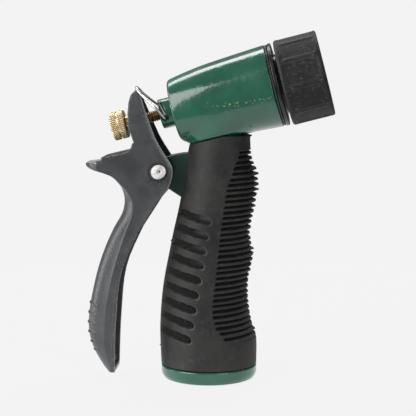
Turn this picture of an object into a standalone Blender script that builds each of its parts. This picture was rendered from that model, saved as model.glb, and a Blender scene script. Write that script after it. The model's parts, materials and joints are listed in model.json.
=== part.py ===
"""Hose spray nozzle: die-cast pistol body, rubber sleeve, rear trigger and threaded front.

Every number below is in millimetres and every solid is built in metres. Two empties carry
the design frames: handle_datum stands at the centre of the handle's base, and barrel_axis
lies on the tilted barrel, with its own +Z along the spray direction. Heights on the barrel
("s") are measured forward from the front edge of the green casting.
"""

import bmesh
import bpy
from math import acos, cos, pi, radians, sin, sqrt, tan
from mathutils import Matrix, Vector

MM = 0.001
GAP = 0.3

# Frames
DATUM_X = -0.48
BARREL_POINT = (27.5, 125.0)
BARREL_TILT = radians(14.5)
PIVOT = (-20.7, 88.9)
CLIP_PIVOT = (-17.6, 111.4)

# Base and hose inlet
BASE_CENTRE_X = 0.3
BASE_RADIUS = 20.4
BASE_HEIGHT = 6.0
SOCKET_RADIUS = 13.2
SOCKET_DEPTH = 12.0
WATERWAY_RADIUS = 6.0
HOSE_WASHER_HEIGHT = 2.8

# Handle stations: height, rear x, front x, half width
HANDLE = (
    (6.3, -20.1, 20.7, 20.4),
    (18.0, -20.6, 20.5, 19.6),
    (25.0, -20.5, 18.4, 18.4),
    (36.0, -19.7, 16.9, 16.7),
    (45.0, -18.4, 17.4, 15.7),
    (53.0, -16.8, 19.1, 15.2),
    (63.0, -14.8, 17.7, 14.7),
    (74.0, -12.3, 19.6, 14.3),
    (84.0, -10.5, 21.0, 14.0),
    (90.0, -9.5, 20.2, 13.6),
    (96.0, -8.7, 18.2, 13.0),
    (112.0, -5.5, 17.6, 11.5),
)
SLEEVE_WALL = 2.6
SLEEVE_TOP_U = -14.9
SLEEVE_TOP_Z = 104.4
RIB_PITCH = 2.3
RIB_FIRST_Z = 18.5
RIB_COUNT = 35
RIB_DEPTH = 0.8
# Rear edge of the ribbed panel: height, x
RIB_PANEL = ((18.5, 7.3), (25.0, 2.4), (32.0, 1.1), (46.0, 2.6), (64.0, 4.5), (83.0, 7.4), (97.0, 12.9))
SLOT_COUNT = 9
SLOT_HEIGHT = 3.4
SLOT_DEPTH = 1.2
SLOT_SLOPE = radians(13)
SLOT_LOWEST = (-7.2, 19.5)
SLOT_HIGHEST = (0.9, 69.1)
SLOT_REAR_ANGLE = radians(158)

# Barrel, s and radius
BARREL_REAR = -43.6
BARREL_FRONT = 0.1
BOSS_REAR = -49.2
BOSS_RADIUS = 6.25
CHAMBER_RADIUS = 10.5
CHAMBER_REAR = -38.0
BUSH_HOLE_RADIUS = 3.5
SEAL_POCKET_RADIUS = 4.9
SEAL_POCKET_REAR = -43.2
STEM_RADIUS = 2.05
STEM_HOLE_RADIUS = 2.4

# Spray head and collar
FLANGE_FRONT = 2.8
FLANGE_RADIUS = 17.6
NECK_RADIUS = 13.3
NECK_FRONT = 15.5
SEAT_REAR = 9.2
SEAT_FRONT = 11.3
COLLAR_REAR = 4.1
COLLAR_FRONT = 22.3
COLLAR_RADIUS = 18.2
COLLAR_BORE = 13.65
LAND_COUNT = 10
FLAT_RADIUS = 17.25
FLAT_HALF_CHORD = 4.4
FIRST_LAND = radians(7)

# Adjusting nut
NUT_FRONT = -64.35
NUT_LENGTH = 6.2
NUT_RADIUS = 6.1
NUT_HUB_RADIUS = 3.1
KNURL_COUNT = 24

# Trigger stations: height, back x, front x, crease x, inner back x, half width
TRIGGER = (
    (2.7, -43.4, -39.6, -41.5, -41.2, 8.4),
    (5.0, -45.4, -39.5, -41.4, -42.3, 8.9),
    (10.5, -48.7, -39.4, -43.2, -45.9, 9.4),
    (16.0, -50.8, -39.3, -44.2, -48.0, 9.6),
    (21.0, -51.6, -39.0, -44.1, -48.9, 9.7),
    (28.0, -51.3, -38.5, -43.7, -48.7, 9.8),
    (36.0, -49.9, -37.9, -42.6, -47.4, 9.9),
    (46.0, -47.5, -36.6, -40.5, -45.0, 10.0),
    (55.0, -44.5, -33.4, -38.0, -42.1, 10.0),
    (64.0, -40.5, -29.3, -35.0, -38.1, 10.0),
    (71.0, -36.6, -25.0, -32.4, -34.4, 10.0),
    (76.5, -35.6, -21.6, -32.1, -33.3, 10.0),
    (81.3, -36.6, -17.6, -34.2, -33.8, 10.0),
    (84.2, -38.5, -16.1, -36.6, -34.4, 10.0),
    (86.9, -41.1, -15.3, -39.6, -34.8, 10.0),
    (88.3, -45.2, -15.1, -43.9, -34.9, 10.0),
    (89.2, -49.2, -15.0, -48.0, -34.9, 10.0),
    (90.6, -51.7, -15.2, -50.6, -34.8, 10.0),
    (92.1, -52.3, -15.7, -51.3, -34.5, 10.0),
    (92.6, -46.0, -16.0, -45.1, -34.3, 10.0),
    (94.4, -45.3, -17.2, -44.4, -33.6, 10.0),
    (96.0, -39.1, -18.2, -38.2, -32.6, 9.9),
    (97.2, -34.6, -18.9, -33.7, -31.6, 9.8),
    (98.8, -32.0, -19.9, -31.1, -29.9, 9.6),
    (101.0, -31.4, -21.2, -30.5, -29.3, 9.3),
    (103.4, -32.3, -22.5, -31.4, -29.9, 8.9),
    (107.4, -33.9, -24.2, -32.9, -31.6, 8.2),
    (112.9, -34.1, -26.4, -33.0, -32.0, 6.8),
    (117.7, -33.9, -28.2, -32.7, -31.9, 4.8),
    (121.0, -33.3, -29.2, -32.2, -31.6, 3.3),
    (123.4, -31.3, -29.8, -30.9, -30.7, 2.3),
)
TRIGGER_WALL = 1.8
TRIGGER_SLOT_RADIUS = 3.7
TRIGGER_SLOT_RISE = 2.4

# Rivet, clip and lug
RIVET_RADIUS = 1.6
RIVET_HOLE_RADIUS = 1.9
RIVET_HEAD_RADIUS = 3.25
LUG_HALF_WIDTH = 4.6
EYE_RADIUS = 4.4
EYE_HALF_WIDTH = 7.8
CLIP_WIRE_RADIUS = 0.55
CLIP_HOLE_RADIUS = 0.9
CLIP_LEG_Y = 7.1

# Spring
SPRING_WIRE_RADIUS = 0.6
SPRING_RADIUS = 5.6
SPRING_REAR = -36.4
SPRING_FRONT = 4.5
SPRING_TURNS = 11


def clear_scene():
    for item in list(bpy.data.objects):
        bpy.data.objects.remove(item)


def make_material(name, colour, roughness, metallic):
    """A Principled BSDF for one sub-part."""
    material = bpy.data.materials.new(name)
    material.use_nodes = True
    shader = material.node_tree.nodes["Principled BSDF"]
    shader.inputs["Base Color"].default_value = (*colour, 1)
    shader.inputs["Roughness"].default_value = roughness
    shader.inputs["Metallic"].default_value = metallic
    return material


def make_frames():
    """The two empties that carry the handle's and the barrel's own frames."""
    handle = bpy.data.objects.new("handle_datum", None)
    handle.location = (DATUM_X * MM, 0, 0)
    barrel = bpy.data.objects.new("barrel_axis", None)
    barrel.parent = handle
    barrel.location = (BARREL_POINT[0] * MM, 0, BARREL_POINT[1] * MM)
    barrel.rotation_euler = (0, pi / 2 - BARREL_TILT, 0)
    for empty in (handle, barrel):
        bpy.context.scene.collection.objects.link(empty)
    return handle, barrel


def add_object(name, points, faces, parent, material=None, at=(0, 0, 0)):
    """An object from points in millimetres; one with no material is a cutter."""
    mesh = bpy.data.meshes.new(name)
    mesh.from_pydata([Vector(p) * MM for p in points], [], faces)
    work = bmesh.new()
    work.from_mesh(mesh)
    bmesh.ops.recalc_face_normals(work, faces=work.faces)
    work.to_mesh(mesh)
    work.free()
    mesh.shade_smooth()
    mesh.set_sharp_from_angle(angle=radians(35))
    item = bpy.data.objects.new(name, mesh)
    item.parent = parent
    item.location = Vector(at) * MM
    bpy.context.scene.collection.objects.link(item)
    if material:
        mesh.materials.append(material)
    else:
        item.hide_render = True
        item.display_type = "WIRE"
    return item


def combine(item, other, operation):
    """Adds one exact Boolean; the other object stays as its hidden helper."""
    modifier = item.modifiers.new(f"{operation.lower()}_{other.name}", "BOOLEAN")
    modifier.operation = operation
    modifier.solver = "EXACT"
    modifier.object = other
    other.hide_render = True
    other.display_type = "WIRE"


def join_rings(rings):
    """Points and faces of a closed solid through rings of equal length."""
    count = len(rings[0])
    points = [point for ring in rings for point in ring]
    faces = [list(range(count)), list(range(len(points) - count, len(points)))]
    for row in range(len(rings) - 1):
        for i in range(count):
            j = (i + 1) % count
            faces.append([row * count + i, row * count + j, (row + 1) * count + j, (row + 1) * count + i])
    return points, faces


def turned_rings(profile, segments, start):
    angles = [2 * pi * (i + start) / segments for i in range(segments)]
    return [[(radius * cos(a), radius * sin(a), s) for a in angles] for s, radius in profile]


def turn_solid(profile, segments, start=0.0):
    """A profile of (s, radius) turned about local Z, with flat ends."""
    return join_rings(turned_rings(profile, segments, start))


def turn_ring(profile, segments, start=0.0):
    """A closed profile of (s, radius) turned about local Z into a ring."""
    rings = turned_rings(profile, segments, start)
    points, faces = join_rings([*rings, rings[0]])
    count = len(points) - segments
    faces = [[index % count for index in face] for face in faces[2:]]
    return points[:count], faces


def tube_profile(rear, front, inner, outer):
    """Square section of a washer or a bush."""
    return [(rear, inner), (rear, outer), (front, outer), (front, inner)]


def sweep(path, radius, sides):
    """Points and faces of a round wire along a list of points, with flat ends."""
    path = [Vector(p) for p in path]
    normal = (path[1] - path[0]).orthogonal().normalized()
    rings = []
    for i, point in enumerate(path):
        ahead = path[min(i + 1, len(path) - 1)] - path[max(i - 1, 0)]
        tangent = ahead.normalized()
        normal = (normal - tangent * normal.dot(tangent)).normalized()
        side = tangent.cross(normal)
        angles = [2 * pi * k / sides for k in range(sides)]
        rings.append([point + (normal * cos(a) + side * sin(a)) * radius for a in angles])
    return join_rings(rings)


def rod(name, x, z, radius, y_low, y_high, parent, segments=20):
    """A hidden cylinder along Y, for drilling."""
    rings = []
    for y in (y_low, y_high):
        angles = [2 * pi * i / segments for i in range(segments)]
        rings.append([(x + radius * cos(a), y, z + radius * sin(a)) for a in angles])
    return add_object(name, *join_rings(rings), parent)


def plate(name, outline, half_width, parent):
    """A hidden slab along Y with an outline of (x, z)."""
    rings = [[(x, y, z) for x, z in outline] for y in (-half_width, half_width)]
    return add_object(name, *join_rings(rings), parent)


def smooth_row(rows, height):
    """The stations' values at a height, on a smooth curve through them."""
    heights = [row[0] for row in rows]
    height = min(max(height, heights[0]), heights[-1])
    i = min(max(k for k, z in enumerate(heights) if z <= height), len(rows) - 2)
    before = rows[max(i - 1, 0)]
    low = rows[i]
    high = rows[i + 1]
    after = rows[min(i + 2, len(rows) - 1)]
    span = high[0] - low[0]
    t = (height - low[0]) / span
    values = []
    for k in range(1, len(low)):
        slope_low = (high[k] - before[k]) / (high[0] - before[0]) * span
        slope_high = (after[k] - low[k]) / (after[0] - low[0]) * span
        values.append(
            (2 * t**3 - 3 * t**2 + 1) * low[k] + (t**3 - 2 * t**2 + t) * slope_low
            + (3 * t**2 - 2 * t**3) * high[k] + (t**3 - t**2) * slope_high
        )
    return values


def straight_value(rows, height):
    """The value at a height on straight lines between (height, value) rows."""
    height = min(max(height, rows[0][0]), rows[-1][0])
    for low, high in zip(rows, rows[1:]):
        if height <= high[0]:
            return low[1] + (high[1] - low[1]) * (height - low[0]) / (high[0] - low[0])
    return rows[-1][1]


def handle_ring(height, inset, count):
    """The handle's oval section at a height, drawn in by an inset."""
    rear, front, half_width = smooth_row(HANDLE, height)
    middle = (rear + front) / 2
    reach = (front - rear) / 2 - inset
    width = half_width - inset
    angles = [2 * pi * i / count for i in range(count)]
    return [(middle + reach * cos(a), width * sin(a), height) for a in angles]


def rib_depth(x, height):
    """How deep a groove is cut at a point of the handle's front."""
    edge = straight_value(RIB_PANEL, height)
    return RIB_DEPTH * min(max((x - edge) / 2.5, 0), 1)


def ribbed_ring(height, inset, count, groove):
    ring = []
    for x, y, z in handle_ring(height, inset, count):
        depth = rib_depth(x, z) if groove else 0
        length = sqrt(x * x + y * y)
        ring.append((x - depth * x / length, y - depth * y / length, z))
    return ring


def barrel_to_handle(s, y, u):
    """A barrel place (s forward, u up) in the handle's frame."""
    x = BARREL_POINT[0] + s * cos(BARREL_TILT) - u * sin(BARREL_TILT)
    z = BARREL_POINT[1] + s * sin(BARREL_TILT) + u * cos(BARREL_TILT)
    return x, y, z


def fairing_rings():
    """The flat-bottomed saddle that joins the handle to the barrel."""
    rings = []
    for u, rear, front, half_width in ((-14.6, -40.0, -13.6, 11.9), (-12.0, -39.8, -11.5, 12.2), (-5.0, -38.0, -9.0, 12.2)):
        middle = (rear + front) / 2
        reach = (front - rear) / 2
        angles = [2 * pi * i / 28 for i in range(28)]
        rings.append([barrel_to_handle(middle + reach * cos(a), half_width * sin(a), u) for a in angles])
    return rings


def lug_outline():
    """The pivot lug: a bar from the handle that ends in a round eye on the rivet."""
    eye = [(PIVOT[0] + 5.6 * cos(a), PIVOT[1] + 5.6 * sin(a)) for a in
           (radians(95 + 18 * i) for i in range(9))]
    return [(-2.0, 97.0), (-11.0, 96.4), *eye, (-16.7, 81.6), (-10.5, 77.6), (-2.0, 77.6)]


def make_body(handle, barrel, material):
    """The green casting: barrel, rear boss, handle core, base flange and pivot lug."""
    outer = [(BOSS_REAR, 5.7), (BOSS_REAR + 0.5, BOSS_RADIUS), (BARREL_REAR - 0.8, BOSS_RADIUS),
             (BARREL_REAR, 7.1), (BARREL_REAR + 0.1, 12.0), (-43.1, 13.0), (-42.3, 13.6), (-36.0, 14.8),
             (-28.0, 16.0), (-13.2, 16.9), (-0.3, 17.65), (BARREL_FRONT, 17.3)]
    body = add_object("nozzle_body", *turn_solid(outer, 40), barrel, material)
    core_heights = (3.0, 12, 20, 28, 36, 45, 53, 63, 74, 84, 92, 100, 112)
    core = [handle_ring(z, SLEEVE_WALL + GAP, 24) for z in core_heights]
    combine(body, add_object("body_core", *join_rings(core), handle), "UNION")
    combine(body, add_object("body_fairing", *join_rings(fairing_rings()), handle), "UNION")
    flange = [(0, 17.6), (0.7, 19.4), (2.2, 20.3), (3.4, BASE_RADIUS), (BASE_HEIGHT, BASE_RADIUS)]
    base = add_object("body_base", *turn_solid(flange, 40), handle, at=(BASE_CENTRE_X, 0, 0))
    combine(body, base, "UNION")
    combine(body, plate("body_lug", lug_outline(), LUG_HALF_WIDTH, handle), "UNION")
    eye = rod("body_lug_eye", *PIVOT, EYE_RADIUS, -EYE_HALF_WIDTH, EYE_HALF_WIDTH, handle, 24)
    combine(body, eye, "UNION")
    bore = [(BOSS_REAR - 1, BUSH_HOLE_RADIUS), (SEAL_POCKET_REAR, BUSH_HOLE_RADIUS),
            (SEAL_POCKET_REAR, SEAL_POCKET_RADIUS), (CHAMBER_REAR, SEAL_POCKET_RADIUS),
            (CHAMBER_REAR, CHAMBER_RADIUS), (BARREL_FRONT + 1, CHAMBER_RADIUS)]
    combine(body, add_object("body_bore", *turn_solid(bore, 28, 0.37), barrel), "DIFFERENCE")
    water = []
    for x, z in ((BASE_CENTRE_X, SOCKET_DEPTH - 1), (6.5, 114.0)):
        angles = [2 * pi * i / 20 for i in range(20)]
        water.append([(x + WATERWAY_RADIUS * cos(a), WATERWAY_RADIUS * sin(a), z) for a in angles])
    combine(body, add_object("body_waterway", *join_rings(water), handle), "DIFFERENCE")
    socket = [(-1, SOCKET_RADIUS), (SOCKET_DEPTH, SOCKET_RADIUS)]
    inlet = add_object("body_socket", *turn_solid(socket, 32, 0.41), handle, at=(BASE_CENTRE_X, 0, 0))
    combine(body, inlet, "DIFFERENCE")
    drill = rod("body_rivet_hole", *PIVOT, RIVET_HOLE_RADIUS, -12, 12, handle)
    combine(body, drill, "DIFFERENCE")
    for side, name in ((-1, "near"), (1, "far")):
        ends = sorted((side * 4.1, side * 9))
        hole = rod(f"body_clip_hole_{name}", *CLIP_PIVOT, CLIP_HOLE_RADIUS, *ends, handle, 12)
        combine(body, hole, "DIFFERENCE")
    return body


def handle_point(height, inset, angle, lift=0.0):
    """A point of the handle's section, lifted straight up by a small distance."""
    rear, front, half_width = smooth_row(HANDLE, height)
    reach = (front - rear) / 2 - inset
    return (rear + front) / 2 + reach * cos(angle), (half_width - inset) * sin(angle), height + lift


def slot_rings(x_tip, z_tip, side):
    """One round-ended slot that climbs backwards along one side of the handle, as a cutter."""
    half = SLOT_HEIGHT / 2
    rear, front, _ = smooth_row(HANDLE, z_tip)
    sections = []
    for depth in (0.05, 0.35, 0.95, half):
        angle = acos((x_tip - depth - (rear + front) / 2) / ((front - rear) / 2))
        sections.append((angle, sqrt(half**2 - (half - depth) ** 2)))
    start = sections[-1][0]
    stop = SLOT_REAR_ANGLE - radians(7)
    sections += [(start + (stop - start) * k / 3, half) for k in range(1, 4)]
    sections += [(stop + radians(turn), half * share) for turn, share in ((3.5, 0.85), (6, 0.5), (7, 0.1))]
    rings = []
    for angle, reach in sections:
        x = (rear + front) / 2 + (front - rear) / 2 * cos(angle)
        z = z_tip + (x_tip - x) * tan(SLOT_SLOPE)
        corners = ((-1.5, -reach), (-1.5, reach), (SLOT_DEPTH, reach), (SLOT_DEPTH, -reach))
        rings.append([handle_point(z, inset, side * angle, lift) for inset, lift in corners])
    return rings


def slot_cutters():
    """The slots of both sides, evenly stepped from the lowest to the highest."""
    points = []
    faces = []
    for i in range(SLOT_COUNT):
        share = i / (SLOT_COUNT - 1)
        x = SLOT_LOWEST[0] + (SLOT_HIGHEST[0] - SLOT_LOWEST[0]) * share
        z = SLOT_LOWEST[1] + (SLOT_HIGHEST[1] - SLOT_LOWEST[1]) * share
        for side in (-1, 1):
            slot_points, slot_faces = join_rings(slot_rings(x + SLOT_HEIGHT / 2, z, side))
            faces += [[index + len(points) for index in face] for face in slot_faces]
            points += slot_points
    return points, faces


def make_sleeve(handle, material):
    """The rubber sleeve: ribbed in front, slotted behind, cut off square under the barrel."""
    last_rib = RIB_FIRST_Z + (RIB_COUNT - 1) * RIB_PITCH
    rings = [ribbed_ring(z, 0, 24, False) for z in (BASE_HEIGHT + GAP, 12.0)]
    for i in range(2 * RIB_COUNT - 1):
        rings.append(ribbed_ring(RIB_FIRST_Z + i * RIB_PITCH / 2, 0, 24, i % 2 == 1))
    rings += [ribbed_ring(z, 0, 24, False) for z in (last_rib + 3, 104, 108)]
    sleeve = add_object("grip_sleeve", *join_rings(rings), handle, material)
    heights = (3.0, 12, 20, 28, 36, 45, 53, 63, 74, 84, 92, 100, 112)
    hollow = [handle_ring(z, SLEEVE_WALL, 24) for z in heights]
    combine(sleeve, add_object("sleeve_hollow", *join_rings(hollow), handle), "DIFFERENCE")
    combine(sleeve, add_object("sleeve_slots", *slot_cutters(), handle), "DIFFERENCE")
    lug_gate = [(-1.0, 77.2), (-1.0, 97.6), (-30.0, 97.6), (-30.0, 77.2)]
    combine(sleeve, plate("sleeve_lug_gate", lug_gate, LUG_HALF_WIDTH + GAP, handle), "DIFFERENCE")
    rear = barrel_to_handle(-60, 0, SLEEVE_TOP_U)
    front = barrel_to_handle(10, 0, SLEEVE_TOP_U)
    knee_x = rear[0] + (SLEEVE_TOP_Z - rear[2]) / tan(BARREL_TILT)
    outline = [(rear[0], rear[2]), (knee_x, SLEEVE_TOP_Z), (front[0], SLEEVE_TOP_Z), (front[0], 125), (rear[0], 125)]
    combine(sleeve, plate("sleeve_top_cut", outline, 30, handle), "DIFFERENCE")
    return sleeve


def make_head(barrel, material):
    """The black front insert: spigot, flange, hose-thread neck and dished nose."""
    profile = [(-5.0, 7.8), (-5.0, 9.8), (-4.7, 10.1), (1.3, 10.1), (1.3, 17.3), (1.6, FLANGE_RADIUS),
               (2.5, FLANGE_RADIUS), (FLANGE_FRONT, 17.3), (FLANGE_FRONT, 12.6), (3.9, 12.6), (4.3, NECK_RADIUS),
               (NECK_FRONT - 0.5, NECK_RADIUS), (NECK_FRONT, 12.8), (NECK_FRONT, 8.8), (12.2, 4.2),
               (11.6, 4.2), (11.6, 7.2), (8.6, 7.2), (8.6, 7.8)]
    return add_object("spray_head", *turn_ring(profile, 36), barrel, material)


def make_collar(barrel, material):
    """The fluted thread-protector collar, with wide flats between narrow raised lands."""
    profile = [(COLLAR_REAR, 14.3), (COLLAR_REAR, 17.0), (COLLAR_REAR + 0.4, 17.8), (COLLAR_REAR + 1.2, COLLAR_RADIUS),
               (COLLAR_FRONT - 1.2, COLLAR_RADIUS), (COLLAR_FRONT - 0.4, 17.8), (COLLAR_FRONT, 17.0),
               (COLLAR_FRONT, 15.6), (17.0, 15.0), (16.3, COLLAR_BORE), (COLLAR_REAR + 0.7, COLLAR_BORE)]
    collar = add_object("front_collar", *turn_ring(profile, 50), barrel, material)
    points = []
    faces = []
    for i in range(LAND_COUNT):
        angle = FIRST_LAND + 2 * pi * (i + 0.5) / LAND_COUNT
        turn = Matrix.Rotation(angle, 3, "Z")
        rings = []
        for y in (-FLAT_HALF_CHORD, FLAT_HALF_CHORD):
            outline = ((FLAT_RADIUS, 7.2), (17.6, 6.4), (20.0, 6.0), (20.0, 21.3), (17.6, 20.9), (FLAT_RADIUS, 20.2))
            rings.append([turn @ Vector((x, y, s)) for x, s in outline])
        flat_points, flat_faces = join_rings(rings)
        faces += [[index + len(points) for index in face] for face in flat_faces]
        points += flat_points
    combine(collar, add_object("collar_flats", points, faces, barrel), "DIFFERENCE")
    return collar


def trigger_ring(row):
    """One level section of the lever: a channel open to the front, crowned at the back."""
    height, back, front, crease, inner, half_width = row
    angles = [radians(15 * i) for i in range(13)]
    power = 0.75
    outer = []
    for a in angles:
        y = -half_width * (abs(cos(a)) ** power) * (1 if cos(a) > 0 else -1)
        outer.append((crease + (back - crease) * sin(a) ** power, y))
    inside = half_width - min(TRIGGER_WALL, half_width * 0.55)
    corner = min(2.0, abs(front - inner) * 0.3)
    inward = [(front, inside), (inner + corner, inside), (inner, inside * 0.75),
              (inner, -inside * 0.75), (inner + corner, -inside), (front, -inside)]
    section = [(front, -half_width), *outer, (front, half_width), *inward]
    return [(x - PIVOT[0], y, height - PIVOT[1]) for x, y in section]


def make_trigger(handle, material):
    """The die-cast lever, with a slot for the stem and a hole for the rivet."""
    rings = [trigger_ring(row) for row in TRIGGER]
    at = (PIVOT[0], 0, PIVOT[1])
    trigger = add_object("trigger", *join_rings(rings), handle, material, at=at)
    hole = rod("trigger_rivet_hole", *PIVOT, RIVET_HOLE_RADIUS, -12, 12, handle)
    combine(trigger, hole, "DIFFERENCE")
    angles = [radians(10 + 20 * i) for i in range(18)]
    outline = []
    for a in angles:
        rise = TRIGGER_SLOT_RISE if sin(a) > 0 else 0
        outline.append((TRIGGER_SLOT_RADIUS * cos(a), TRIGGER_SLOT_RADIUS * sin(a) + rise))
    rings = [[barrel_to_handle(s, y, u) for y, u in outline] for s in (-67.5, -55.5)]
    combine(trigger, add_object("trigger_slot", *join_rings(rings), handle), "DIFFERENCE")
    return trigger


def make_rivet(handle, material):
    """The semi-tubular rivet: a dimpled near end and a domed far head."""
    profile = [(-11.0, 0.9), (-11.6, 1.3), (-11.6, 2.2), (-11.2, 2.9), (-10.3, RIVET_HEAD_RADIUS),
               (-10.3, RIVET_RADIUS), (10.3, RIVET_RADIUS), (10.3, 3.1), (11.0, 2.6), (11.5, 1.4)]
    points, faces = turn_solid(profile, 24)
    points = [(x, s, y) for x, y, s in points]
    return add_object("pivot_rivet", points, faces, handle, material, at=(PIVOT[0], 0, PIVOT[1]))


def make_clip(handle, material):
    """The wire hold-open bail: two legs in the boss, one loop over the lever's tip."""
    hole_x, hole_z = CLIP_PIVOT
    half = [(hole_x, -4.4, hole_z), (hole_x, -6.7, hole_z), (hole_x - 0.35, -CLIP_LEG_Y, hole_z + 0.3),
            (-21.8, -6.95, 115.2), (-25.4, -5.1, 118.7), (-28.3, -3.9, 121.6), (-29.8, -3.2, 123.6),
            (-30.7, -1.8, 124.7), (-30.9, 0, 125.0)]
    path = half + [(x, -y, z) for x, y, z in reversed(half[:-1])]
    path = [(x - hole_x, y, z - hole_z) for x, y, z in path]
    return add_object("hold_open_clip", *sweep(path, CLIP_WIRE_RADIUS, 8), handle, material, at=(hole_x, 0, hole_z))


def make_nut(barrel, material):
    """The knurled brass nut: two toothed bands, a groove between them and a plain hub."""
    rear = NUT_FRONT - NUT_LENGTH
    tooth = 0.25
    rows = [(rear, 2.4, 0), (rear, 5.2, 0), (rear + 0.5, NUT_RADIUS - 0.3, tooth), (rear + 2.4, NUT_RADIUS - 0.1, tooth),
            (rear + 2.8, 5.2, 0), (rear + 3.3, 5.2, 0), (rear + 3.7, NUT_RADIUS - 0.1, tooth),
            (NUT_FRONT - 0.5, NUT_RADIUS - 0.1, tooth), (NUT_FRONT, 5.4, 0), (NUT_FRONT, 2.4, 0)]
    count = 2 * KNURL_COUNT
    rings = []
    for s, radius, depth in rows:
        ring = []
        for i in range(count):
            angle = 2 * pi * i / count
            r = radius - depth * (i % 2)
            ring.append((r * cos(angle), r * sin(angle), s))
        rings.append(ring)
    points = [point for ring in rings for point in ring]
    faces = []
    for row in range(len(rings)):
        following = (row + 1) % len(rings)
        for i in range(count):
            j = (i + 1) % count
            faces.append([row * count + i, row * count + j, following * count + j, following * count + i])
    return add_object("adjusting_nut", points, faces, barrel, material)


def make_spring(barrel, material):
    """The long compression spring between the packing washer and the washer retainer."""
    per_turn = 8
    points = []
    for i in range(SPRING_TURNS * per_turn + 1):
        share = i / (SPRING_TURNS * per_turn)
        angle = 2 * pi * i / per_turn
        s = SPRING_REAR + SPRING_WIRE_RADIUS + (SPRING_FRONT - SPRING_REAR - 2 * SPRING_WIRE_RADIUS) * share
        points.append((SPRING_RADIUS * cos(angle), SPRING_RADIUS * sin(angle), s))
    return add_object("return_spring", *sweep(points, SPRING_WIRE_RADIUS, 5), barrel, material)


def make_ring(name, rear, front, inner, outer, barrel, material):
    """A plain washer or bush on the barrel's axis."""
    return add_object(name, *turn_ring(tube_profile(rear, front, inner, outer), 28), barrel, material)


def make_seal(barrel, material):
    """The stem's O-ring."""
    middle = (STEM_HOLE_RADIUS + SEAL_POCKET_RADIUS - GAP) / 2
    radius = middle - STEM_HOLE_RADIUS
    profile = [(-41.2 + radius * cos(a), middle + radius * sin(a)) for a in (2 * pi * i / 8 for i in range(8))]
    return add_object("packing_seal", *turn_ring(profile, 20), barrel, material)


def make_stem(barrel, material):
    """The brass stem, from the nut to just behind the pintle."""
    rear = NUT_FRONT - NUT_LENGTH - 0.1
    front = SEAT_REAR - GAP
    profile = [(rear, STEM_RADIUS - 0.4), (rear + 0.4, STEM_RADIUS), (front - 0.3, STEM_RADIUS),
               (front, STEM_RADIUS - 0.3)]
    return add_object("valve_stem", *turn_solid(profile, 20), barrel, material)


def make_pintle(barrel, material):
    """The shaped tip that stands in the orifice and spreads the jet."""
    profile = [(SEAT_REAR, 3.0), (10.4, 3.0), (12.0, 2.1), (13.6, 1.7), (15.6, 2.0),
               (17.4, 2.9), (17.9, 2.9), (18.2, 2.5)]
    return add_object("spray_pintle", *turn_solid(profile, 28), barrel, material)


def make_hose_washer(handle, material):
    top = SOCKET_DEPTH - GAP
    profile = tube_profile(top - HOSE_WASHER_HEIGHT, top, 7.6, SOCKET_RADIUS - GAP)
    return add_object("hose_washer", *turn_ring(profile, 32), handle, material, at=(BASE_CENTRE_X, 0, 0))


def main():
    clear_scene()
    handle, barrel = make_frames()
    enamel = make_material("green_enamel", (0.03, 0.16, 0.10), 0.25, 0)
    rubber = make_material("grip_rubber", (0.035, 0.035, 0.036), 0.7, 0)
    make_body(handle, barrel, enamel)
    make_sleeve(handle, rubber)
    make_head(barrel, make_material("head_black", (0.03, 0.03, 0.03), 0.35, 0))
    make_collar(barrel, make_material("collar_black", (0.03, 0.03, 0.03), 0.6, 0))
    make_trigger(handle, make_material("trigger_paint", (0.06, 0.06, 0.065), 0.4, 0))
    make_rivet(handle, make_material("rivet_steel", (0.7, 0.7, 0.7), 0.25, 1))
    make_clip(handle, make_material("clip_steel", (0.6, 0.6, 0.6), 0.25, 1))
    make_nut(barrel, make_material("nut_brass", (0.7, 0.52, 0.28), 0.35, 1))
    make_stem(barrel, make_material("stem_brass", (0.5, 0.38, 0.2), 0.4, 1))
    make_pintle(barrel, make_material("pintle_brass", (0.7, 0.52, 0.28), 0.3, 1))
    make_spring(barrel, make_material("spring_steel", (0.6, 0.6, 0.6), 0.3, 1))
    make_seal(barrel, make_material("seal_rubber", (0.03, 0.03, 0.03), 0.6, 0))
    make_hose_washer(handle, make_material("hose_washer_rubber", (0.03, 0.03, 0.03), 0.7, 0))
    brass = (0.7, 0.52, 0.28)
    black = (0.03, 0.03, 0.03)
    steel = (0.65, 0.65, 0.65)
    rings = (
        ("head_gasket", 0.4, 1.0, CHAMBER_RADIUS, 17.3, black, 0.6, 0),
        ("orifice_seat", SEAT_REAR, SEAT_FRONT, 3.4, 6.9, brass, 0.3, 1),
        ("valve_washer", 6.6, SEAT_REAR - GAP, STEM_HOLE_RADIUS, 6.4, black, 0.6, 0),
        ("washer_retainer", 4.9, 6.3, STEM_HOLE_RADIUS, 6.6, brass, 0.3, 1),
        ("packing_washer", -37.6, -36.8, STEM_HOLE_RADIUS, 8.2, steel, 0.3, 1),
        ("stem_bush", -49.0, -43.6, STEM_HOLE_RADIUS, 3.2, brass, 0.3, 1),
        ("thrust_collar", NUT_FRONT + GAP, NUT_FRONT + 1.7, STEM_HOLE_RADIUS, NUT_HUB_RADIUS, brass, 0.3, 1),
    )
    for name, rear, front, inner, outer, colour, roughness, metallic in rings:
        material = make_material(f"{name}_material", colour, roughness, metallic)
        make_ring(name, rear, front, inner, outer, barrel, material)


main()
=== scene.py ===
"""Looks of the hose spray nozzle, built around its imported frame.

Shapes are worked out in millimetres. Two frames carry them: the handle's, with its datum at the
centre of the base, and the barrel's, where s runs forward along the spray direction from the
front edge of the green casting and u runs up from the barrel's axis.
"""

import json
from math import cos, pi, radians, sin, tan

import bmesh
import bpy
import numpy as np
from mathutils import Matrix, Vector
from numpy import hypot, maximum, minimum
from numpy.linalg import norm


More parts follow.
